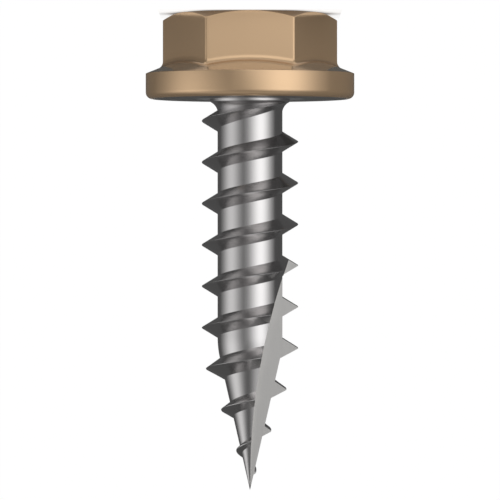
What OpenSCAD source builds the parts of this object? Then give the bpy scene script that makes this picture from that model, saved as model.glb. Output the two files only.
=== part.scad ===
// Flanged hex head screw for timber: a hex head and a round flange forged in one piece
// with a coarse threaded shank, and a notch ground into the point to cut its own hole.
// The screw stands on its flat head: z = 0 is the top of the head, and +Z runs to the tip.
// A hex face looks to -Y. All sizes are in millimetres.

/* [Hex head] */
// Width across the hex flats, which the spanner or socket grips
hex_af = 9.53; // [8:0.01:10.5]
// Height of the head, from the flat top to the bearing face under the flange
head_h = 5.36; // [4.8:0.01:6.5]
// Radius of the six upright edges
hex_edge_r = 0.14; // [0.08:0.01:0.3]
// Slope of the chamfer that rounds off the six top corners, from the flat top
chamfer_angle = 30; // [20:1:40]
// Distance from the middle of each hex face to the edge of the flat top
top_inset = 0.015; // [0:0.005:0.8]

/* [Flange] */
// Diameter of the round flange
flange_d = 13.12; // [12.4:0.01:15]
// Height of the upright rim with its rounded lower edge, from the bearing face
rim_h = 1.6; // [1.2:0.01:2]
// Radius of the rounded edge between the rim and the bearing face
rim_round = 0.41; // [0.2:0.01:0.6]
// Slope of the flange's top, which falls from the hex to the rim
flange_slope = 21.5; // [15:0.5:26]
// Radius of the fillet that blends the hex into the flange
head_fillet_r = 0.5; // [0.3:0.01:0.6]

/* [Neck] */
// Diameter of the short collar under the flange
collar_d = 5.03; // [4.7:0.01:5.4]
// Height of the collar
collar_h = 0.17; // [0.1:0.01:0.5]
// Radius of the hollow blend from the collar to the shank
neck_fillet_r = 0.82; // [0.6:0.01:1.2]

/* [Shank and thread] */
// Length under the flange, from the bearing face to the tip
shank_len = 24.6; // [22:0.1:40]
// Diameter over the crests of the thread
major_d = 6.06; // [5.6:0.01:6.6]
// Diameter of the shank between the turns
root_d = 4.08; // [3.7:0.01:4.4]
// Rise of the thread in one turn
pitch = 2.6; // [2.3:0.01:3]
// Angle between a flank and the plane square to the axis
flank_angle = 30.5; // [25:0.5:35]
// Width of the narrow land along the crest
crest_w = 0.04; // [0.02:0.01:0.2]
// Distance from the bearing face to the first full crest, which lies on the +X side
first_crest = 1.38; // [1.2:0.01:1.8]
// Turns over which the thread grows out of the neck
run_in_turns = 0.6; // [0.3:0.05:0.7]

/* [Point] */
// Half angle of the cone that holds the crests at the point
crest_taper = 20.2; // [16:0.1:24]
// Distance from the tip back to where the cone of the crests would close
crest_apex_back = 0.1; // [0:0.01:0.6]
// Length of the cone that the shank itself narrows along
point_len = 8.94; // [7:0.01:12]
// Radius of the long curve that leads the shank into its cone
point_blend_r = 6.2; // [1:0.1:10]
// Length of the sharp end beyond the last thread
tip_len = 0.3; // [0.2:0.01:0.6]

/* [Cutting notch] */
// Radius of the grinding wheel that cuts the notch
wheel_r = 39.3; // [25:0.1:45]
// Distance from the tip back to where the wheel comes closest to the axis
wheel_back = 0.95; // [0.5:0.01:3]
// Metal left between the axis and each wall of the notch
notch_web = 0.03; // [0.02:0.01:0.3]

/* [Hidden] */

// Facets of the round surfaces, and points around one turn of the thread
$fn = 120;
steps = 48;
// Facets around one upright edge, along one flat and across the section of the head's fillet
edge_steps = 6;
flat_steps = 8;
arc_steps = 6;
// How far a blend is sunk where it runs out on another surface, so that the two cross
sink = 0.003;
neck_sink = 0.015;
// Least half width of the thread's foot, where it fades into the shank
least_foot = 0.05;
// How deep one form reaches into the next, inside the metal
overlap = 0.3;

apothem = hex_af / 2;
flange_r = flange_d / 2;
rim_top_z = head_h - rim_h;
collar_r = collar_d / 2;
root_r = root_d / 2;
major_r = major_d / 2;
tip_z = head_h + shank_len;
collar_z = head_h + collar_h;
neck_z = collar_z + sqrt(pow(neck_fillet_r, 2) - pow(root_r + neck_fillet_r - collar_r, 2));

// Height of the flange's sloping top at a distance r from the axis
function slope_z(r) = rim_top_z - (flange_r - r) * tan(flange_slope);

// Points around the hex with its rounded upright edges, each with the direction that its wall
// faces. Each flat is cut into per_flat lengths.
function hex_walk(per_flat) = [for (i = [0:5])
    let (face = 60 * i + 30, inner = apothem - hex_edge_r) each [
        for (j = [0:per_flat - 1])
            let (along = inner * tan(30) * (2 * j / per_flat - 1))
            [apothem * [cos(face), sin(face)] + along * [-sin(face), cos(face)], face],
        for (j = [0:edge_steps - 1])
            let (facing = face + 60 * j / edge_steps)
            [inner / cos(30) * [cos(face + 30), sin(face + 30)]
                + hex_edge_r * [cos(facing), sin(facing)], facing]]];

// Hex part of the head, its top corners cut off by a cone
module hex_block() {
    block_h = head_h - rim_round - overlap;
    top_r = apothem - top_inset;
    intersection() {
        linear_extrude(block_h) polygon([for (step = hex_walk(1)) step[0]]);
        cylinder(h = block_h, r1 = top_r, r2 = top_r + block_h / tan(chamfer_angle));
    }
}

// Half section of the flange: sloping top, upright rim, rounded lower edge and flat underside
module flange_section() {
    polygon([[0, rim_top_z], [0, head_h], [flange_r - rim_round, head_h],
        [flange_r, head_h - rim_round], [flange_r, rim_top_z],
        [apothem - overlap, slope_z(apothem - overlap)]]);
    translate([flange_r - rim_round, head_h - rim_round]) circle(r = rim_round);
}

// Half section of the collar and of the hollow blend that leads to the shank
module neck_section() {
    difference() {
        translate([0, head_h - overlap]) square([collar_r, neck_z - head_h + overlap]);
        translate([root_r - neck_sink + neck_fillet_r, neck_z]) circle(r = neck_fillet_r);
    }
}

// Direction a fraction t of the way along the arc from direction a to direction b
function swing(a, b, t) = let (angle = acos(a * b))
    (a * sin((1 - t) * angle) + b * sin(t * angle)) / sin(angle);

// Section of the fillet at one point of the outline. A ball that rolls along the corner touches
// the hex wall and the flange's slope, and the fillet is the arc between the two touching points.
function fillet_section(at, facing) = let (
        wall_out = [cos(facing), sin(facing), 0],
        centre_xy = at + (head_fillet_r - sink) * [cos(facing), sin(facing)],
        r = norm(centre_xy),
        centre = [centre_xy.x, centre_xy.y, slope_z(r) - (head_fillet_r - sink) / cos(flange_slope)],
        slope_out = [sin(flange_slope) * centre_xy.x / r, sin(flange_slope) * centre_xy.y / r,
            -cos(flange_slope)],
        arc = [for (k = [0:arc_steps])
            centre + head_fillet_r * swing(-wall_out, -slope_out, k / arc_steps)],
        foot_z = arc[arc_steps].z + overlap,
        inside = at - 0.6 * hex_edge_r * [cos(facing), sin(facing)])
    concat(arc, [[arc[arc_steps].x, arc[arc_steps].y, foot_z],
        [inside.x, inside.y, foot_z], [inside.x, inside.y, arc[0].z]]);

// Ring of metal that fills the corner between the hex and the flange
module head_fillet() {
    sections = [for (step = hex_walk(flat_steps)) fillet_section(step[0], step[1])];
    n = len(sections);
    m = len(sections[0]);
    polyhedron([for (section = sections) each section],
        [for (i = [0:n - 1], k = [0:m - 1])
            let (a = i * m + k, b = ((i + 1) % n) * m + k,
                c = ((i + 1) % n) * m + (k + 1) % m, d = i * m + (k + 1) % m)
            each [[a, b, c], [a, c, d]]]);
}

// Radius of the shank at a height z: a cylinder, a long curve and the cone of the point
cone_angle = atan(root_r / point_len);
blend_half = point_blend_r * tan(cone_angle / 2);
blend_z = tip_z - point_len - blend_half;
function shank_r(z) =
    z < blend_z ? root_r :
    z < blend_z + point_blend_r * sin(cone_angle)
        ? root_r - point_blend_r + sqrt(pow(point_blend_r, 2) - pow(z - blend_z, 2))
        : (tip_z - z) * tan(cone_angle);

// Radius that the crests reach at a height z
function crest_r(z) = min(major_r, (tip_z - crest_apex_back - z) * tan(crest_taper));

// How far the thread stands out of the shank at a height z, growing out of the neck at its start
first_z = head_h + first_crest;
function thread_h(z) =
    let (grown = min(1, max(0, 1 + (z - first_z) / pitch / run_in_turns)))
    max(0, crest_r(z) - shank_r(z)) * sin(90 * grown);

// The thread's four edges on one column of the helix, from the foot of one flank to the other
function thread_column(turn) = let (
        z = first_z + pitch * turn,
        h = thread_h(z),
        crest = crest_w / 2,
        foot = crest + max(h * tan(flank_angle), least_foot))
    [for (edge = [[-foot, 0], [-crest, h], [crest, h], [foot, 0]])
        let (r = shank_r(z + edge[0]) + edge[1])
        [r * cos(360 * turn), r * sin(360 * turn), z + edge[0]]];

// Shank and thread as one surface that winds from inside the head to the tip. Its rows follow the
// helix, and the last row of a turn is the first row of the next one. Past the last thread every
// row ends in the tip's own point.
module threaded_shank() {
    turns_in_head = 2;
    first = -turns_in_head * steps;
    last = ceil((tip_z - first_z) / pitch * steps) + steps;
    rows = 4;
    cut_z = tip_z - tip_len;
    columns = [for (j = [first:last]) thread_column(j / steps)];
    n = len(columns);
    start = n * rows;
    tip = start + 1;
    points = concat([for (column = columns) each column],
        [[0, 0, columns[0][0].z], [0, 0, tip_z]]);
    // Row k of column j, where row 4 is the first row one turn on
    function at(j, k) = let (index = k < rows ? j * rows + k : (j + steps) * rows)
        index >= start ? tip : points[index].z > cut_z ? tip : index;
    function real(face) = face[0] != face[1] && face[1] != face[2] && face[2] != face[0];
    wall = [for (j = [0:n - 2], k = [0:rows - 1])
        let (a = at(j, k), b = at(j + 1, k), c = at(j + 1, k + 1), d = at(j, k + 1))
        each [[a, d, b], [b, d, c]]];
    first_turn = [for (j = [0:steps - 1]) [start, at(j, 0), at(j + 1, 0)]];
    step_face = [for (k = [0:rows - 1]) [start, at(0, k + 1), at(0, k)]];
    polyhedron(points, [for (face = concat(wall, first_turn, step_face)) if (real(face)) face]);
}

// The grinding wheel: its flat side makes one wall of the notch and its rim makes the other
module notch_wheel() {
    translate([-wheel_r - notch_web, -notch_web, tip_z - wheel_back])
        rotate([90, 0, 0]) cylinder(h = major_d, r = wheel_r);
}

module flanged_screw() {
    color("tan") hex_block();
    color("tan") head_fillet();
    color("tan") rotate_extrude() flange_section();
    color("silver") rotate_extrude() neck_section();
    color("silver") difference() {
        threaded_shank();
        notch_wheel();
    }
}

flanged_screw();
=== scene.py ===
# %% [markdown]
# # A flanged hex head screw
#
# This lesson dresses one coarse timber screw: a tan painted hex head with a round flange, and a
# bare steel shank with a sharp thread and a notch ground into its point. The real screw is one
# piece of wire, forged at one end and rolled between dies at the other, so it is one mesh here.
#
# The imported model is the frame: it says how big the screw is and where it stands. Nothing in the
# frame is moved. The dressed mesh takes its place, with finer edges and its finishes.

# %% Load the frame
import math

import bmesh
import bpy
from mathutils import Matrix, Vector


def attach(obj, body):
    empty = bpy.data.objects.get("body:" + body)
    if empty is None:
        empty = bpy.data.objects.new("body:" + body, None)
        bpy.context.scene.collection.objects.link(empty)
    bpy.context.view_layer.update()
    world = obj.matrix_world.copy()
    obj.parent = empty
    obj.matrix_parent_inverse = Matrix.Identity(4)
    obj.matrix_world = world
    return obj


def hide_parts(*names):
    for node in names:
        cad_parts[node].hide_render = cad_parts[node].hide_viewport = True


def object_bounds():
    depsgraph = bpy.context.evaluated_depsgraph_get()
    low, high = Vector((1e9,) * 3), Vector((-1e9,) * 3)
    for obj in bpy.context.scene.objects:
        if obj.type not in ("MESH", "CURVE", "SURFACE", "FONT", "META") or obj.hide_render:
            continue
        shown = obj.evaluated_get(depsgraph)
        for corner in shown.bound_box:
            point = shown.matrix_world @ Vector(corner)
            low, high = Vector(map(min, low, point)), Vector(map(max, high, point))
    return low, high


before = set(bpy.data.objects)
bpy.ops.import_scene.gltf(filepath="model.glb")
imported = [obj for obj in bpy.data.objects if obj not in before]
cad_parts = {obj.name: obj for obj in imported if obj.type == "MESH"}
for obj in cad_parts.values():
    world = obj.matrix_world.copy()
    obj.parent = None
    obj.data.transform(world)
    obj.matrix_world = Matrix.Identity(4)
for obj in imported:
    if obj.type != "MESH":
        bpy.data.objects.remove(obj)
cad_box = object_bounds()
scene = bpy.context.scene
print("nodes in the frame:", list(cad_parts))

# %% [markdown]
# ## The camera
#
# The screw stands on its flat head with the tip up, and the photograph shows it the other way
# up. So the camera is level, in front of one hex face, and rolled half a turn. It is far away
# for such a small thing, about ten times the screw's length, and a long lens fills the picture.
# The lens follows from the width that the picture covers at the screw's axis.

# %% Camera
MM = 0.001
CAMERA_DISTANCE = 289.3 * MM
CAMERA_HEIGHT = 14.855 * MM
PICTURE_WIDTH = 31.45 * MM
SENSOR_WIDTH = 36
NEAREST_SEEN = 10 * MM


def add_object(name, data):
    """A new object in the scene, made from its data."""
    thing = bpy.data.objects.new(name, data)
    scene.collection.objects.link(thing)
    return thing


camera_data = bpy.data.cameras.new("camera")
camera_data.sensor_width = SENSOR_WIDTH
camera_data.lens = SENSOR_WIDTH * CAMERA_DISTANCE / PICTURE_WIDTH
camera_data.clip_start = NEAREST_SEEN
camera = add_object("camera", camera_data)
camera.location = (0, -CAMERA_DISTANCE, CAMERA_HEIGHT)
camera.rotation_euler = (math.radians(90), math.radians(180), 0)
scene.camera = camera
scene.view_settings.view_transform = "Standard"
print(f"lens {camera_data.lens:.0f} mm")

# %% [markdown]
# ## The screw's measures
#
# The flange's width and the screw's length come from the frame. The rest are the sizes that the
# screw was drawn with, in millimetres. The last few belong to the dressed mesh alone: real forged
# and rolled edges are never quite sharp, and the light catches them.

# %% Measures
low, high = cad_box
MIDDLE_Z = (low[2] + high[2]) / 2
FLANGE_R = (high[0] - low[0]) / 2 / MM
TIP_Z = high[2] / MM

APOTHEM = 9.53 / 2
HEAD_H = 5.36
EDGE_R = 0.14
CHAMFER = math.radians(30)
TOP_R = APOTHEM - 0.015

RIM_TOP_Z = HEAD_H - 1.6
RIM_ROUND = 0.41
SLOPE = math.radians(21.5)
FILLET_R = 0.5

COLLAR_R = 5.03 / 2
COLLAR_Z = HEAD_H + 0.17
NECK_R = 0.82
ROOT_R = 4.08 / 2
MAJOR_R = 6.06 / 2
PITCH = 2.6
FLANK = math.radians(30.5)
FIRST_CREST_Z = HEAD_H + 1.38
RUN_IN_TURNS = 0.6

CREST_TAPER = math.radians(20.2)
CREST_APEX_BACK = 0.1
POINT_LEN = 8.94
POINT_BLEND_R = 6.2
TIP_LEN = 0.3
WHEEL_R = 39.3
WHEEL_BACK = 0.95
WEB = 0.03

TOP_EDGE_ROUND = 0.09
CHAMFER_ROUND = 0.06
RIM_EDGE_ROUND = 0.05
COLLAR_ROUND = 0.13
CREST_ROUND = 0.012
TIP_CREST_ROUND = 0.09
print(f"flange {2 * FLANGE_R:.2f} mm, length {TIP_Z:.2f} mm")

# %% [markdown]
# ## Mesh from columns
#
# Head and thread are both grids that close round the axis. A grid is easier to control than
# primitives: every row follows one feature, such as an edge or the crest of the thread, so the
# rounding along it stays even. A column is the section of the metal in one direction.

# %% Round the corners of a section
# A rounding may take nearly half of a side, so that two of them never meet
MOST_OF_SIDE = 0.48


def round_corners(line, radii, steps):
    """A line of 2D points whose inner corners become arcs, each with steps + 1 points."""
    rounded = [line[0]]
    for before, corner, after, radius in zip(line, line[1:], line[2:], radii):
        to_before = before - corner
        to_after = after - corner
        half = to_before.angle(to_after) / 2
        room = MOST_OF_SIDE * min(to_before.length, to_after.length)
        reach = min(radius / math.tan(half), room)
        start = corner + to_before.normalized() * reach
        end = corner + to_after.normalized() * reach
        middle = (to_before.normalized() + to_after.normalized()).normalized()
        centre = corner + middle * reach / math.cos(half)
        spoke = start - centre
        for k in range(steps + 1):
            turned_spoke = spoke.slerp(end - centre, k / steps).normalized()
            rounded.append(centre + turned_spoke * spoke.length)
    rounded.append(line[-1])
    return rounded


# %% Lay a closed skin over columns
def skin_of_columns(name, columns, start, end):
    """A closed mesh: columns side by side round the axis, with a point at either end."""
    mesh = bmesh.new()
    grid = [[mesh.verts.new(Vector(point) * MM) for point in column] for column in columns]
    first = mesh.verts.new(Vector(start) * MM)
    last = mesh.verts.new(Vector(end) * MM)
    for left, right in zip(grid, grid[1:] + grid[:1]):
        mesh.faces.new((first, right[0], left[0]))
        for k in range(len(left) - 1):
            mesh.faces.new((left[k], right[k], right[k + 1], left[k + 1]))
        mesh.faces.new((last, left[-1], right[-1]))
    return finished_object(name, mesh)


def finished_object(name, mesh):
    """A Blender object from a bmesh, with its faces turned outwards."""
    bmesh.ops.recalc_face_normals(mesh, faces=mesh.faces)
    data = bpy.data.meshes.new(name)
    mesh.to_mesh(data)
    mesh.free()
    print(f"{name}: {len(data.polygons)} faces")
    return add_object(name, data)


# %% [markdown]
# ## The forged head
#
# The outline walks round the hex: six flats and six slightly rounded upright edges. Each step of
# the walk gives one column. It starts on the flat top, goes over the chamfer, which is a cone
# that cuts the six corners, and along the wall. Then comes the fillet, which is the hollow that
# a ball leaves when it rolls along the corner between hex and flange. From there the column goes
# out along the flange's slope, over the rim and its rounded edge, and back in under the flange.
#
# A six-sided cylinder with a Bevel modifier would come close. But the fillet of the real head
# dips at each upright edge and rises at each flat, and a bevel doesn't follow that.

# %% Walk round the hex
FLAT_STEPS = 36
EDGE_STEPS = 10


def heading(angle):
    """The 2D direction at an angle round the axis."""
    return Vector((math.cos(angle), math.sin(angle)))


def hex_walk():
    """Points round the hex outline, each with the angle that its wall faces."""
    inner = APOTHEM - EDGE_R
    half_flat = inner * math.tan(math.radians(30))
    walk = []
    for side in range(6):
        face = math.radians(60 * side + 30)
        along = heading(face + math.radians(90))
        flat_middle = heading(face) * APOTHEM
        for j in range(FLAT_STEPS):
            walk.append((flat_middle + along * half_flat * (2 * j / FLAT_STEPS - 1), face))
        edge_middle = heading(face + math.radians(30)) * inner / math.cos(math.radians(30))
        for j in range(EDGE_STEPS):
            facing = face + math.radians(60) * j / EDGE_STEPS
            walk.append((edge_middle + heading(facing) * EDGE_R, facing))
    return walk


print(len(hex_walk()), "steps round the hex")

# %% Fillet under the hex
FILLET_STEPS = 14


def slope_z(r):
    """Height of the flange's sloping side at a distance from the axis."""
    return RIM_TOP_Z - (FLANGE_R - r) * math.tan(SLOPE)


def fillet_arc(at, facing):
    """Where the rolling ball touches metal, from the hex wall to the slope."""
    out = heading(facing)
    centre_flat = at + out * FILLET_R
    r = centre_flat.length
    centre = Vector((*centre_flat, slope_z(r) - FILLET_R / math.cos(SLOPE)))
    to_wall = Vector((*-out, 0))
    radial = centre_flat / r
    to_slope = Vector((*(-radial * math.sin(SLOPE)), math.cos(SLOPE)))
    return [centre + FILLET_R * to_wall.slerp(to_slope, k / FILLET_STEPS)
            for k in range(FILLET_STEPS + 1)]


print(f"hex wall and slope would meet {slope_z(APOTHEM):.2f} mm over the flat top")

# %% One column of the head
CORNER_STEPS = 5
# How far in from the edge of the flat top a column starts, and the radius at which it ends
TOP_RING = 1.0
INNER_R = 1.0


def head_column(at, facing):
    """The head's section from the flat top to the bearing face, at one step of the walk."""
    arc = fillet_arc(at, facing)
    radial = at.normalized()
    chamfer_z = (at.length - TOP_R) * math.tan(CHAMFER)
    upper = round_corners(
        [Vector((TOP_R - TOP_RING, 0)), Vector((TOP_R, 0)), Vector((at.length, chamfer_z)),
         Vector((at.length, arc[0].z))],
        [TOP_EDGE_ROUND, CHAMFER_ROUND], CORNER_STEPS)
    foot = arc[-1].xy
    outward = foot.normalized()
    lower = round_corners(
        [Vector((foot.length, arc[-1].z)), Vector((FLANGE_R, RIM_TOP_Z)),
         Vector((FLANGE_R, HEAD_H)), Vector((INNER_R, HEAD_H))],
        [RIM_EDGE_ROUND, RIM_ROUND], 2 * CORNER_STEPS)
    return ([(*(radial * r), z) for r, z in upper[:-1]] + [tuple(point) for point in arc]
            + [(*(outward * r), z) for r, z in lower[1:]])


# %% Build the head
head_columns = [head_column(*step) for step in hex_walk()]
print(len(head_columns[0]), "points in each column of the head")
head = skin_of_columns("head", head_columns, (0, 0, 0), (0, 0, HEAD_H))

# %% [markdown]
# ## Collar and neck
#
# Between flange and shank the die leaves a short collar and a hollow blend. Both are round, so
# this piece is a section turned about the axis. A Screw modifier on a curve would turn it as
# well, but the helper for columns is there already. The ends are sunk into the head and the
# shank, so that the three forms cross and can be joined.

# %% Build the neck
ROUND_STEPS = 240
BLEND_STEPS = 16
# The blend's first steps make way for the rounded edge of the collar
LEDGE_STEPS = 4
# How far the two ends are sunk, into the shank and into the head
NECK_SINK = 0.015
HEAD_SINK = 0.6


def turned(name, section, start_z, end_z):
    """A section of (radius, height) points turned about the axis into a closed solid."""
    columns = []
    for j in range(ROUND_STEPS):
        out = heading(2 * math.pi * j / ROUND_STEPS)
        columns.append([(*(out * r), z) for r, z in section])
    return skin_of_columns(name, columns, (0, 0, start_z), (0, 0, end_z))


def neck_section():
    """From inside the head up the collar, then along the hollow blend to the shank."""
    centre_r = ROOT_R - NECK_SINK + NECK_R
    start = math.acos((centre_r - COLLAR_R) / NECK_R)
    end_z = COLLAR_Z + NECK_R * math.sin(start)
    blend = []
    for k in range(LEDGE_STEPS, BLEND_STEPS + 1):
        angle = start * (1 - k / BLEND_STEPS)
        r = centre_r - NECK_R * math.cos(angle)
        blend.append(Vector((r, end_z - NECK_R * math.sin(angle))))
    collar = round_corners(
        [Vector((COLLAR_R, HEAD_H - HEAD_SINK)), Vector((COLLAR_R, COLLAR_Z)), blend[0]],
        [COLLAR_ROUND], CORNER_STEPS)
    return collar + blend[1:]


neck_points = neck_section()
neck = turned("neck", neck_points, HEAD_H - HEAD_SINK, neck_points[-1][1])

# %% [markdown]
# ## The rolled thread
#
# Two dies press a sharp ridge out of the wire. The grid follows it: a row runs along the crest,
# more rows run along the flanks and the land between the turns, and each turn's last row is the
# next turn's first. So the crest is one clean line from the neck to the point. At a height z the
# surface lies at the shank's own radius plus the ridge's height there.
#
# A Screw modifier would wind one section into a helix too, but it can't let the ridge grow out
# of the neck or shrink along the point.

# %% Shank and crest radius
CONE = math.atan(ROOT_R / POINT_LEN)
BLEND_Z = TIP_Z - POINT_LEN - POINT_BLEND_R * math.tan(CONE / 2)


def shank_radius(z):
    """The shank between the turns: a cylinder, a long curve and the cone of the point."""
    if z < BLEND_Z:
        return ROOT_R
    if z < BLEND_Z + POINT_BLEND_R * math.sin(CONE):
        return ROOT_R - POINT_BLEND_R + math.sqrt(POINT_BLEND_R ** 2 - (z - BLEND_Z) ** 2)
    return max(0, (TIP_Z - z) * math.tan(CONE))


def crest_radius(z):
    """The outside of the thread: a cylinder that ends in a cone."""
    return min(MAJOR_R, (TIP_Z - CREST_APEX_BACK - z) * math.tan(CREST_TAPER))


def ridge_height(z):
    """How far the crest stands out of the shank. It grows out of the neck over its first part."""
    grown = min(1, max(0, 1 + (z - FIRST_CREST_Z) / PITCH / RUN_IN_TURNS))
    return max(0, crest_radius(z) - shank_radius(z)) * math.sin(math.radians(90) * grown)


print(f"the shank narrows from {BLEND_Z:.2f} mm on")

# %% Section of the ridge
CREST_STEPS = 8
FLANK_STEPS = 4
LAND_STEPS = 4
# Half width of the ridge's foot where it fades into the shank
LEAST_FOOT = 0.05
# The rounding of the crest takes at most this share of the ridge's height
CREST_SHARE = 0.45


def crest_rounding(z):
    """Radius along the crest, which the dies fill less well towards the point."""
    along = min(1, max(0, (z - BLEND_Z) / (TIP_Z - BLEND_Z)))
    return CREST_ROUND + (TIP_CREST_ROUND - CREST_ROUND) * along


def ridge_section(z):
    """(offset along the axis, height over the shank) of the points over one turn's ridge."""
    height = ridge_height(z)
    radius = min(crest_rounding(z), CREST_SHARE * height)
    side = radius * math.cos(FLANK)
    shoulder = height - radius * (1 - math.sin(FLANK))
    foot = max(side + shoulder * math.tan(FLANK), LEAST_FOOT)
    half = [(PITCH / 2 + (foot - PITCH / 2) * k / LAND_STEPS, 0) for k in range(LAND_STEPS)]
    half += [(foot + (side - foot) * k / FLANK_STEPS, shoulder * k / FLANK_STEPS)
             for k in range(FLANK_STEPS)]
    crest = []
    for k in range(CREST_STEPS + 1):
        angle = (math.radians(90) - FLANK) * (2 * k / CREST_STEPS - 1)
        crest.append((radius * math.sin(angle), height - radius + radius * math.cos(angle)))
    return [(-offset, rise) for offset, rise in half] + crest + half[:0:-1]


print(f"the ridge stands {ridge_height(FIRST_CREST_Z):.2f} mm out of the shank")

# %% Build the threaded shank
TURN_STEPS = 180
TURNS_IN_HEAD = 2


def threaded_shank():
    """One skin that winds from inside the head to the tip."""
    rows = len(ridge_section(FIRST_CREST_Z))
    first = -TURNS_IN_HEAD * TURN_STEPS
    last = math.ceil((TIP_Z - FIRST_CREST_Z) / PITCH * TURN_STEPS) + TURN_STEPS
    cut_z = TIP_Z - TIP_LEN
    mesh = bmesh.new()
    tip = mesh.verts.new((0, 0, TIP_Z * MM))
    columns = []
    for j in range(first, last + 1):
        turn = j / TURN_STEPS
        z = FIRST_CREST_Z + PITCH * turn
        out = heading(2 * math.pi * turn)
        column = []
        for offset, rise in ridge_section(z):
            at_z = z + offset
            if at_z > cut_z:
                column.append(tip)
            else:
                r = shank_radius(at_z) + rise
                column.append(mesh.verts.new(Vector((*(out * r), at_z)) * MM))
        columns.append(column)
    start = mesh.verts.new((0, 0, columns[0][0].co.z))

    def corner(j, k):
        """Row k of column j. The row after the last is the first row one turn on."""
        if k < rows:
            return columns[j][k]
        return columns[j + TURN_STEPS][0] if j + TURN_STEPS < len(columns) else tip

    def face(*corners):
        """A face without its repeated corners, where rows have met in the tip."""
        kept = [c for i, c in enumerate(corners) if c is not corners[i - 1]]
        if len(set(kept)) > 2:
            mesh.faces.new(kept)

    for j in range(len(columns) - 1):
        for k in range(rows):
            face(corner(j, k), corner(j + 1, k), corner(j + 1, k + 1), corner(j, k + 1))
    for j in range(TURN_STEPS):
        face(start, corner(j + 1, 0), corner(j, 0))
    for k in range(rows):
        face(start, corner(0, k), corner(0, k + 1))
    return finished_object("thread", mesh)


thread = threaded_shank()

# %% [markdown]
# ## Joining the forms and grinding the notch
#
# A boolean union joins head, neck and thread into one closed skin. Stitching the grids by hand
# would need rows that match, and the union needs none. Then a grinding wheel takes its quarter
# out of the point. The wheel's flat side leaves one wall through the axis, and its rim leaves
# the other, which runs out of the thread in a long gentle curve. Only the part of the wheel that
# meets the screw is built, with enough steps along its rim to look round.

# %% The part of the wheel that cuts
WHEEL_STEPS = 120
# How far the slice reaches to the side, back from the wheel's closest point, and past the tip
WHEEL_SIDE = 8.0
WHEEL_RUN = 17.0
PAST_TIP = 1.0


def grinding_wheel():
    """The slice of the wheel that reaches the screw."""
    middle_z = TIP_Z - WHEEL_BACK
    low_z = middle_z - WHEEL_RUN
    high_z = TIP_Z + PAST_TIP
    rim = []
    for k in range(WHEEL_STEPS + 1):
        z = low_z + (high_z - low_z) * k / WHEEL_STEPS
        rim.append((-WEB - WHEEL_R + math.sqrt(WHEEL_R ** 2 - (z - middle_z) ** 2), z))
    outline = [(-WHEEL_SIDE, low_z)] + rim + [(-WHEEL_SIDE, high_z)]
    mesh = bmesh.new()
    near = [mesh.verts.new(Vector((x, -WHEEL_SIDE, z)) * MM) for x, z in outline]
    flat = [mesh.verts.new(Vector((x, -WEB, z)) * MM) for x, z in outline]
    mesh.faces.new(near)
    mesh.faces.new(flat)
    for k in range(len(outline)):
        mesh.faces.new((near[k - 1], near[k], flat[k], flat[k - 1]))
    return finished_object("wheel", mesh)


wheel = grinding_wheel()


# %% Join and cut
def combine(base, other, operation):
    """Joins other to base, or cuts it away, and keeps the result in base."""
    modifier = base.modifiers.new(operation, "BOOLEAN")
    modifier.operation = operation
    modifier.solver = "EXACT"
    modifier.object = other
    evaluated = base.evaluated_get(bpy.context.evaluated_depsgraph_get())
    result = bpy.data.meshes.new_from_object(evaluated)
    base.modifiers.clear()
    base.data = result
    bpy.data.objects.remove(other)


screw_finish = bpy.data.materials.new("painted and bare steel")
notch_finish = bpy.data.materials.new("ground notch")
NOTCH_FACES = 1
for thing in (head, neck, thread, wheel):
    thing.data.materials.append(screw_finish)
    thing.data.materials.append(notch_finish)
for polygon in wheel.data.polygons:
    polygon.material_index = NOTCH_FACES

screw = head
combine(screw, neck, "UNION")
combine(screw, thread, "UNION")
combine(screw, wheel, "DIFFERENCE")
screw.name = "screw"
print(f"screw: {len(screw.data.polygons)} faces, {len(screw.data.vertices)} points")

# %% Soft and sharp edges
WELD = 0.00001 * MM
SHARP_ANGLE = math.radians(32)


def shade(thing):
    """Smooth shading with sharp folds, and a hard line where the wheel has cut."""
    mesh = bmesh.new()
    mesh.from_mesh(thing.data)
    # The union can leave a point twice, which opens a crack too small to see
    bmesh.ops.remove_doubles(mesh, verts=mesh.verts, dist=WELD)
    open_edges = 0
    for edge in mesh.edges:
        if len(edge.link_faces) != 2:
            open_edges += 1
            continue
        one, two = edge.link_faces
        cut = one.material_index != two.material_index
        edge.smooth = not cut and edge.calc_face_angle() < SHARP_ANGLE
    for face in mesh.faces:
        face.smooth = True
    mesh.to_mesh(thing.data)
    mesh.free()
    weighted = thing.modifiers.new("even shading", "WEIGHTED_NORMAL")
    weighted.keep_sharp = True
    print("open edges:", open_edges)


shade(screw)

# %% [markdown]
# ## Shader maths as expressions
#
# A shader is a graph, but most of it is arithmetic. The class below wraps one output of a node,
# so that a sum such as `1 - mask` adds the Math nodes by itself. Every other node comes from
# `node`, which takes the kind, its settings and what goes into its sockets.

# %% A small shader kit
class Signal:
    """One output of a shader node, which can be used in sums."""

    def __init__(self, tree, socket):
        self.tree = tree
        self.socket = socket

    def __add__(self, other):
        return maths(self.tree, "ADD", self, other)

    __radd__ = __add__

    def __sub__(self, other):
        return maths(self.tree, "SUBTRACT", self, other)

    def __rsub__(self, other):
        return maths(self.tree, "SUBTRACT", other, self)

    def __mul__(self, other):
        return maths(self.tree, "MULTIPLY", self, other)

    def __truediv__(self, other):
        return maths(self.tree, "DIVIDE", self, other)

    def within(self, start, end):
        """0 at start and before it, 1 at end and beyond. The end may be the smaller one."""
        return node(self.tree, "ShaderNodeMapRange", {"clamp": True},
                    {"Value": self, "From Min": start, "From Max": end})

    def sister(self, output):
        """Another output of the same node."""
        return Signal(self.tree, self.socket.node.outputs[output])


def find(sockets, key):
    """A socket by its number, its identifier or its name."""
    if isinstance(key, int):
        return sockets[key]
    for socket in sockets:
        if socket.identifier == key:
            return socket
    return sockets[key]


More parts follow.
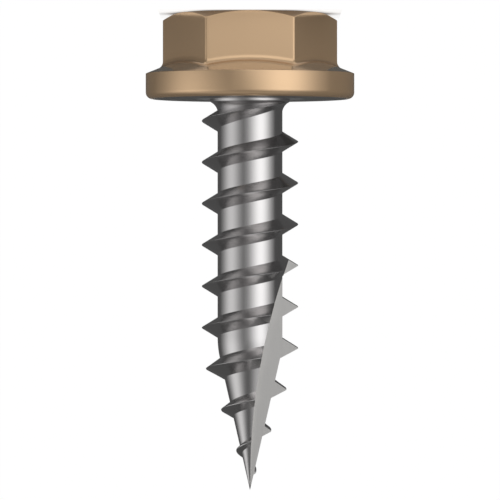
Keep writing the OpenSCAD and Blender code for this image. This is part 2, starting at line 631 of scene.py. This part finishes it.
def node(tree, kind, settings=None, inputs=None, output=0):
    """Adds a node: first its settings, then the values or links of its sockets."""
    made = tree.nodes.new(kind)
    for name, value in (settings or {}).items():
        setattr(made, name, value)
    for key, value in (inputs or {}).items():
        socket = find(made.inputs, key)
        if isinstance(value, Signal):
            tree.links.new(value.socket, socket)
        else:
            socket.default_value = value
    return Signal(tree, find(made.outputs, output)) if made.outputs else None


def maths(tree, operation, *values):
    """A Math node over signals and numbers."""
    return node(tree, "ShaderNodeMath", {"operation": operation}, dict(enumerate(values)))


def mix_colour(tree, factor, first, second):
    """first where factor is 0, second where it is 1."""
    return node(tree, "ShaderNodeMix", {"data_type": "RGBA"},
                {"Factor_Float": factor, "A_Color": first, "B_Color": second}, "Result_Color")


def new_tree(material):
    """The material's empty node tree."""
    material.use_nodes = True
    material.node_tree.nodes.clear()
    print("finish:", material.name)
    return material.node_tree


def noise(tree, where, scale):
    """Cloudy noise round 0.5, scale features to the metre."""
    return node(tree, "ShaderNodeTexNoise", {}, {"Vector": where, "Scale": scale})


def surface(tree, **inputs):
    """The finish itself, joined to the material's output."""
    named = {key.replace("_", " ").title(): value for key, value in inputs.items()}
    named = {key.replace("Ior", "IOR"): value for key, value in named.items()}
    shader = node(tree, "ShaderNodeBsdfPrincipled", {}, named)
    node(tree, "ShaderNodeOutputMaterial", {}, {"Surface": shader})


# %% [markdown]
# ## Painted head, bare steel
#
# The head was sprayed after forging, with a satin tan that holds fine metal flake: its highlights
# keep the colour of the paint. The spray reached a little way in under the rim and stopped in a
# line that wanders slightly. Beyond it lies bare steel: dull on the underside, as the forge left
# it, and painted darker there as shade under the flange; smoother in a ring round the neck, where
# the die pressed hardest, and painted bright there as a painted highlight; and bright on the shank
# that the dies rolled. One material holds all of them, and masks tell them apart by height and by
# distance from the axis.
#
# The slope of the flange, which leans towards the floor, is painted in a paler tone as painted
# light, and its coat is glossier, with more of the flake showing. In the hollow between hex and
# slope the colour is darkened towards black as painted shade. These two masks go by how far
# the surface leans: 0 on an upright wall, and 1 where it faces the same way as the flat top of the
# head.

# %% Paint and steel
PAINT = (0.82, 0.57, 0.349, 1)
# Paler tone painted on the floor-facing slope as painted light
PALE_PAINT_AS_LIGHT = (0.62, 0.565, 0.485, 1)
# Black for the painted shade in the hollow between hex and slope
PAINTED_SHADE_BLACK = (0.05, 0.05, 0.05, 1)
STEEL = (0.665, 0.652, 0.65, 1)
# Underside steel: dull, and painted darker as shade under the flange
UNDERSIDE_PAINTED_SHADE = (0.42, 0.412, 0.4, 1)

PAINT_ROUGH = 0.18
PALE_ROUGH = 0.1
FORGED_ROUGH = 0.4
PRESSED_ROUGH = 0.32
STEEL_ROUGH = 0.2
ROUGH_RANGE = 0.06
PAINT_METAL = 0.6
PALE_METAL = 0.76
# How far the painted shade darkens the paint in the hollow
HOLLOW_SHADE_AMOUNT = 0.3
SPECULAR = 0.05

# Where the finishes change, in millimetres
PAINT_END_R = 6.12
PAINT_WANDER = 0.06
PAINT_FADE = 0.02
# The ring round the neck is painted in bright steel as a painted highlight, and it is also
# smoother
HIGHLIGHT_RING_R = 3.2
HIGHLIGHT_RING_FADE = 0.3
PAINTED_BELOW = (HEAD_H - 0.3, HEAD_H - 0.4)
ROLLED_ABOVE = (HEAD_H + 0.01, HEAD_H + 0.03)

# Where they change as the surface leans
# Painted light: paler paint where the surface leans towards the floor
PAINTED_LIGHT_LEAN = (0.88, 0.925)
HOLLOW_START = (0.45, 0.7)
HOLLOW_END = (0.925, 0.85)

# Features of the noise to the metre, and the fine waves of the sprayed coat
WANDER_SCALE = 900
UNEVEN_SCALE = 700
WAVE_SCALE = 9000
WAVE_STRENGTH = 0.15
WAVE_HEIGHT = 0.01 * MM


def finish_screw(material):
    """Paint on the head and bare steel on the rest. The masks work in millimetres."""
    tree = new_tree(material)
    where = node(tree, "ShaderNodeTexCoord", {}, {}, "Object")
    height = node(tree, "ShaderNodeSeparateXYZ", {}, {0: where}, "Z") / MM
    flat = node(tree, "ShaderNodeVectorMath", {"operation": "MULTIPLY"},
                {0: where, 1: (1, 1, 0)})
    radius = node(tree, "ShaderNodeVectorMath", {"operation": "LENGTH"}, {0: flat}, "Value") / MM
    facing = node(tree, "ShaderNodeTexCoord", {}, {}, "Normal")
    lean = 0 - node(tree, "ShaderNodeSeparateXYZ", {}, {0: facing}, "Z")

    wander = (noise(tree, where, WANDER_SCALE) - 0.5) * PAINT_WANDER
    rim = (radius + wander).within(PAINT_END_R - PAINT_FADE, PAINT_END_R + PAINT_FADE)
    painted = maths(tree, "MAXIMUM", rim, height.within(*PAINTED_BELOW))
    rolled = height.within(*ROLLED_ABOVE)
    # Painted highlight: bright steel in a ring round the neck
    painted_highlight_ring = radius.within(HIGHLIGHT_RING_R + HIGHLIGHT_RING_FADE, HIGHLIGHT_RING_R)
    # Paler paint as painted light where the surface leans towards the floor
    painted_light_pale = lean.within(*PAINTED_LIGHT_LEAN)
    # Painted shade: the hollow between hex and slope is darkened towards black
    painted_hollow_shade = lean.within(*HOLLOW_START) * lean.within(*HOLLOW_END)

    # Painted shade makes the underside darker, and a painted highlight makes the ring round the
    # neck bright
    bare = mix_colour(tree, maths(tree, "MAXIMUM", rolled, painted_highlight_ring), UNDERSIDE_PAINTED_SHADE, STEEL)
    coat_with_painted_light = mix_colour(tree, painted_light_pale, PAINT, PALE_PAINT_AS_LIGHT)
    coat = mix_colour(tree, painted_hollow_shade * HOLLOW_SHADE_AMOUNT, coat_with_painted_light, PAINTED_SHADE_BLACK)
    colour = mix_colour(tree, painted, bare, coat)

    coat_rough = PAINT_ROUGH + painted_light_pale * (PALE_ROUGH - PAINT_ROUGH)
    forged_rough = FORGED_ROUGH + painted_highlight_ring * (PRESSED_ROUGH - FORGED_ROUGH)
    bare_rough = forged_rough + rolled * (STEEL_ROUGH - forged_rough)
    uneven = (noise(tree, where, UNEVEN_SCALE) - 0.5) * ROUGH_RANGE
    rough = bare_rough + painted * (coat_rough - bare_rough) + uneven
    metal = 1 - painted * (1 - PAINT_METAL - painted_light_pale * (PALE_METAL - PAINT_METAL))

    waves = noise(tree, where, WAVE_SCALE)
    bump = node(tree, "ShaderNodeBump", {},
                {"Strength": WAVE_STRENGTH, "Distance": WAVE_HEIGHT, "Height": waves})
    surface(tree, base_color=colour, metallic=metal, roughness=rough,
            specular_ior_level=SPECULAR, normal=bump)


finish_screw(screw_finish)

# %% [markdown]
# ## The ground notch
#
# The wheel leaves bright steel with fine straight scratches along the way it travels. A picture
# of scratches would need an unwrapped mesh. Noise that is stretched along the axis needs none,
# and it is as fine as the real scratches at any distance.

# %% Ground steel
NOTCH_STEEL = (0.68, 0.67, 0.655, 1)
NOTCH_ROUGH = 0.3
NOTCH_ROUGH_RANGE = 0.1
SCRATCH_SCALE = 12000
SCRATCH_STRETCH = (1, 1, 0.08)
SCRATCH_STRENGTH = 0.2
SCRATCH_DEPTH = 0.01 * MM


def finish_notch(material):
    """Bright steel with fine scratches along the axis."""
    tree = new_tree(material)
    where = node(tree, "ShaderNodeTexCoord", {}, {}, "Object")
    stretched = node(tree, "ShaderNodeMapping", {}, {"Vector": where, "Scale": SCRATCH_STRETCH})
    scratches = noise(tree, stretched, SCRATCH_SCALE)
    bump = node(tree, "ShaderNodeBump", {},
                {"Strength": SCRATCH_STRENGTH, "Distance": SCRATCH_DEPTH, "Height": scratches})
    rough = NOTCH_ROUGH + (scratches - 0.5) * NOTCH_ROUGH_RANGE
    surface(tree, base_color=NOTCH_STEEL, metallic=1.0, roughness=rough, normal=bump)


finish_notch(notch_finish)

# %% Set the screw in place of its node
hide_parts("flanged_screw")
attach(screw, "root")
print("the dressed screw takes the place of its node")

# %% [markdown]
# ## Stage and light
#
# Bright metal shows its surroundings, so the light is what draws it. A picture of a studio could
# light it, but lamps can be set one at a time. Two upright softboxes stand in front, a strong one
# on the picture's right and a weaker one on its left. A third lies low in front and lights the
# hex and the slope of the flange, which is turned to the floor. Between and behind them it stays
# dim, which gives the shank its dark edges.
#
# A real softbox is brightest in the middle. So the strength of each lamp falls off towards its
# edges like a bell curve, and the reflections fade as they do in the photograph. The spread of
# the curve is given in degrees, and the lamp is cut off a little beyond two spreads.

# %% Lamps
LAMP_DISTANCE = 0.6
SPREADS = 2.3
WIDEST = 65


def compass(azimuth, elevation):
    """A direction: azimuth 0 is towards the camera and grows to the picture's right."""
    turn = math.radians(azimuth)
    lift = math.radians(elevation)
    level = math.cos(lift)
    return Vector((-math.sin(turn) * level, -math.cos(turn) * level, math.sin(lift)))


def bell(tree, along, reach, spread):
    """1 in the middle of a lamp's side and falling to both ends, which lie at 0 and 1 along it.

    The reach is the tangent of the angle between the middle and an end, as the screw sees it.
    """
    spreads_out = maths(tree, "ARCTANGENT", (along - 0.5) * (2 * reach)) / spread
    return maths(tree, "EXPONENT", spreads_out * spreads_out * -0.5)


def softbox(name, azimuth, elevation, wide, tall, radiance):
    """A flat lamp that faces the screw, with the spreads of its bell curve in degrees."""
    reach_x = math.tan(math.radians(min(wide * SPREADS, WIDEST)))
    reach_y = math.tan(math.radians(min(tall * SPREADS, WIDEST)))
    lamp = bpy.data.lights.new(name, "AREA")
    lamp.shape = "RECTANGLE"
    lamp.size = 2 * LAMP_DISTANCE * reach_x
    lamp.size_y = 2 * LAMP_DISTANCE * reach_y
    lamp.energy = radiance * math.pi * lamp.size * lamp.size_y
    lamp.use_nodes = True
    tree = lamp.node_tree
    place = node(tree, "ShaderNodeNewGeometry", {}, {}, "Parametric")
    x = node(tree, "ShaderNodeSeparateXYZ", {}, {0: place}, "X")
    y = x.sister("Y")
    strength = (bell(tree, x, reach_x, math.radians(wide))
                * bell(tree, y, reach_y, math.radians(tall)))
    tree.links.new(strength.socket, tree.nodes["Emission"].inputs["Strength"])
    thing = add_object(name, lamp)
    direction = compass(azimuth, elevation)
    thing.location = Vector((0, 0, MIDDLE_Z)) + direction * LAMP_DISTANCE
    thing.rotation_euler = direction.to_track_quat("Z", "Y").to_euler()
    thing.visible_camera = False
    print(f"{name}: {lamp.energy:.2f} W")


softbox("right softbox", 38.5, -3, 25, 20, 1.4)
softbox("left softbox", -70.5, 13, 25, 20, 0.9)
softbox("low softbox", 2, -38, 13, 16, 1.08)

# %% [markdown]
# ## A dim room
#
# A plain grey world would light every flank of the thread alike, and the real flanks differ. So
# the room round the lamps is dark at eye level and behind the screw, and lighter where it is
# seen steeply up or down in front, with a dark patch straight above the screw.

# %% Room
ROOM_DARK = (0.09, 0.09, 0.09, 1)
ROOM_LIGHT = (0.4, 0.4, 0.4, 1)
STEEP = (0.6, 1.0)
ZENITH = (1.0, 0.93)
FRONT = (0.2, -0.2)

world = bpy.data.worlds.new("dim room")
world.use_nodes = True
room_tree = world.node_tree
direction = node(room_tree, "ShaderNodeTexCoord", {}, {}, "Generated")
rise = node(room_tree, "ShaderNodeSeparateXYZ", {}, {0: direction}, "Z")
depth = rise.sister("Y")
steep = maths(room_tree, "ABSOLUTE", rise).within(*STEEP)
steep = steep * rise.within(*ZENITH) * depth.within(*FRONT)
room = mix_colour(room_tree, steep, ROOM_DARK, ROOM_LIGHT)
room_tree.links.new(room.socket, room_tree.nodes["Background"].inputs["Color"])
scene.world = world
print("room:", ROOM_DARK[0], "to", ROOM_LIGHT[0])

# %% [markdown]
# ## Floor and backdrop
#
# The screw stands on a small sheet of white paper, and a white card stands six metres behind it.
# Both are no larger than the picture needs, so that little of their white lies on the metal. The
# card alone gives the white background, with a glow of 1 for the rays that come from the camera
# or by way of metal. The paper glows a little less and adds its own lit colour, so that the
# shadow of the screw stays on it, and it darkens in the crevice round the head.

# %% Paper and card
PAPER_HALF = 5.7 * MM
PAPER_GLOW = 0.85
PAPER_WHITE = 0.5
PAPER_ROUGH = 0.9
CREVICE = 1.2 * MM
CREVICE_DEPTH = 0.85
CARD_GLOW = 1.0
CARD_Y = 6.0
CARD_HALF = 0.35
WHITE = (1, 1, 1, 1)
BLACK = (0, 0, 0, 1)


def glow_when_seen(tree, strength):
    """strength for camera, glossy and transmission rays, and 0 for the rest."""
    camera_ray = node(tree, "ShaderNodeLightPath", {}, {}, "Is Camera Ray")
    seen = camera_ray + camera_ray.sister("Is Glossy Ray")
    seen = seen + camera_ray.sister("Is Transmission Ray")
    return seen.within(0, 1) * strength


def crevice_shade(tree):
    """White in the open, and darker where something stands close above."""
    open_sky = node(tree, "ShaderNodeAmbientOcclusion", {}, {"Distance": CREVICE}, "AO")
    return mix_colour(tree, (1 - open_sky) * CREVICE_DEPTH, WHITE, BLACK)


def white_stage(name, corners, glow, white):
    """A flat sheet through the corners, with its glow and how white it is under the lamps."""
    data = bpy.data.meshes.new(name)
    data.from_pydata(corners, [], [range(len(corners))])
    thing = add_object(name, data)
    material = bpy.data.materials.new(name)
    tree = new_tree(material)
    surface(tree, base_color=(white, white, white, 1), roughness=PAPER_ROUGH,
            emission_color=crevice_shade(tree), emission_strength=glow_when_seen(tree, glow))
    data.materials.append(material)
    print(f"{name}: {1000 * thing.dimensions.x:.1f} mm wide")


SQUARE = ((-1, -1), (1, -1), (1, 1), (-1, 1))
paper_corners = [(PAPER_HALF * x, PAPER_HALF * y, 0) for x, y in SQUARE]
card_corners = [(CARD_HALF * x, CARD_Y, CAMERA_HEIGHT + CARD_HALF * z) for x, z in SQUARE]
white_stage("paper", paper_corners, PAPER_GLOW, PAPER_WHITE)
white_stage("card", card_corners, CARD_GLOW, 0.0)
